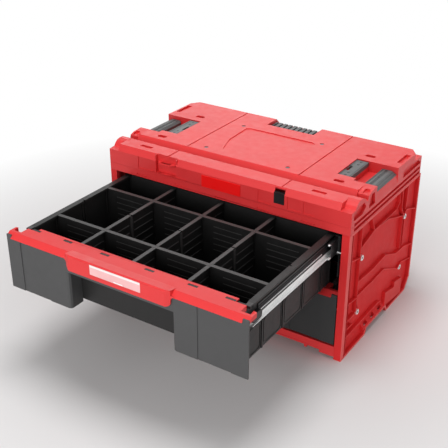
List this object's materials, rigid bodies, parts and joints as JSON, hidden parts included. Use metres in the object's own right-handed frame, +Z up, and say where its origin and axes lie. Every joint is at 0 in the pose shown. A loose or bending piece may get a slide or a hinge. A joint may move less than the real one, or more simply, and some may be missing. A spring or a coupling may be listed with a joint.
{
  "type": "tool box with drawers",
  "caption": "Wide stackable tool box with divided drawers on telescopic slides, a flat ribbed lid with accessory adapters, a padlock eye and a sliding drawer lock.",
  "frame": {"origin": "on the floor, under the middle of the closed cabinet", "axes": "+X to the right seen from the front, +Y to the back, +Z up; the drawers pull out towards -Y"},
  "size_m": [0.585, 0.698, 0.3526],
  "materials": {
    "red_body": "fine satin grain",
    "bright_red": "smooth",
    "grey_trim": "fine matt grain",
    "dark_tray": "satin",
    "black_trim": "satin",
    "window": "clear, slightly frosted",
    "bright_steel": "zinc plated",
    "dark_steel": "blackened"
  },
  "bodies": {
    "cabinet": {"base_panel": "red_body", "back_panel": "red_body", "left_side_panel": "red_body", "right_side_panel": "red_body", "top_cover": "red_body", "front_header": "red_body", "label_plate": "bright_red", "lock_eye": "red_body", "rear_latch": "grey_trim", "left_inner_adapter": "grey_trim", "right_inner_adapter": "grey_trim", "left_outer_adapter": "grey_trim", "right_outer_adapter": "grey_trim", "lid_screw_front_left": "dark_steel", "lid_screw_rear_left": "dark_steel", "lid_screw_front_right": "dark_steel", "lid_screw_rear_right": "dark_steel", "upper_left_outer_rail": "dark_steel", "upper_left_bracket": "black_trim", "upper_left_front_bolt": "bright_steel", "upper_left_rear_bolt": "bright_steel", "upper_right_outer_rail": "dark_steel", "upper_right_bracket": "black_trim", "upper_right_front_bolt": "bright_steel", "upper_right_rear_bolt": "bright_steel", "lower_left_outer_rail": "dark_steel", "lower_left_bracket": "black_trim", "lower_left_front_bolt": "bright_steel", "lower_left_rear_bolt": "bright_steel", "lower_right_outer_rail": "dark_steel", "lower_right_bracket": "black_trim", "lower_right_front_bolt": "bright_steel", "lower_right_rear_bolt": "bright_steel"},
    "upper_drawer": {"upper_bin": "dark_tray", "upper_front": "grey_trim", "upper_grip": "red_body", "upper_label_window": "window", "upper_left_long_divider": "dark_tray", "upper_middle_long_divider": "dark_tray", "upper_right_long_divider": "dark_tray", "upper_front_cross_divider": "dark_tray", "upper_rear_cross_divider": "dark_tray", "upper_left_inner_rail": "bright_steel", "upper_right_inner_rail": "bright_steel"},
    "upper_left_middle": {"upper_left_middle_rail": "bright_steel"},
    "upper_right_middle": {"upper_right_middle_rail": "bright_steel"},
    "lower_drawer": {"lower_bin": "dark_tray", "lower_front": "grey_trim", "lower_grip": "red_body", "lower_label_window": "window", "lower_left_long_divider": "dark_tray", "lower_middle_long_divider": "dark_tray", "lower_right_long_divider": "dark_tray", "lower_front_cross_divider": "dark_tray", "lower_rear_cross_divider": "dark_tray", "lower_left_inner_rail": "bright_steel", "lower_right_inner_rail": "bright_steel"},
    "lower_left_middle": {"lower_left_middle_rail": "bright_steel"},
    "lower_right_middle": {"lower_right_middle_rail": "bright_steel"},
    "lock": {"lock_slider": "black_trim"}
  },
  "joints": [
    {"name": "upper_drawer_slide", "type": "slide", "parent": "cabinet", "child": "upper_drawer", "axis": [0, -1, 0], "range_m": [-0.334, 0]},
    {"name": "lower_drawer_slide", "type": "slide", "parent": "cabinet", "child": "lower_drawer", "axis": [0, -1, 0], "range_m": [0, 0.334]},
    {"name": "upper_left_middle_slide", "type": "slide", "parent": "cabinet", "child": "upper_left_middle", "axis": [0, -1, 0], "range_m": [-0.167, 0]},
    {"name": "upper_right_middle_slide", "type": "slide", "parent": "cabinet", "child": "upper_right_middle", "axis": [0, -1, 0], "range_m": [-0.167, 0]},
    {"name": "lower_left_middle_slide", "type": "slide", "parent": "cabinet", "child": "lower_left_middle", "axis": [0, -1, 0], "range_m": [0, 0.167]},
    {"name": "lower_right_middle_slide", "type": "slide", "parent": "cabinet", "child": "lower_right_middle", "axis": [0, -1, 0], "range_m": [0, 0.167]},
    {"name": "lock_slide", "type": "slide", "parent": "cabinet", "child": "lock", "axis": [0, 0, 1], "range_m": [0, 0.008]}
  ],
  "couplings": [
    {"joint": "upper_left_middle_slide", "follows": "upper_drawer_slide", "ratio": 0.5},
    {"joint": "upper_right_middle_slide", "follows": "upper_drawer_slide", "ratio": 0.5},
    {"joint": "lower_left_middle_slide", "follows": "lower_drawer_slide", "ratio": 0.5},
    {"joint": "lower_right_middle_slide", "follows": "lower_drawer_slide", "ratio": 0.5}
  ]
}
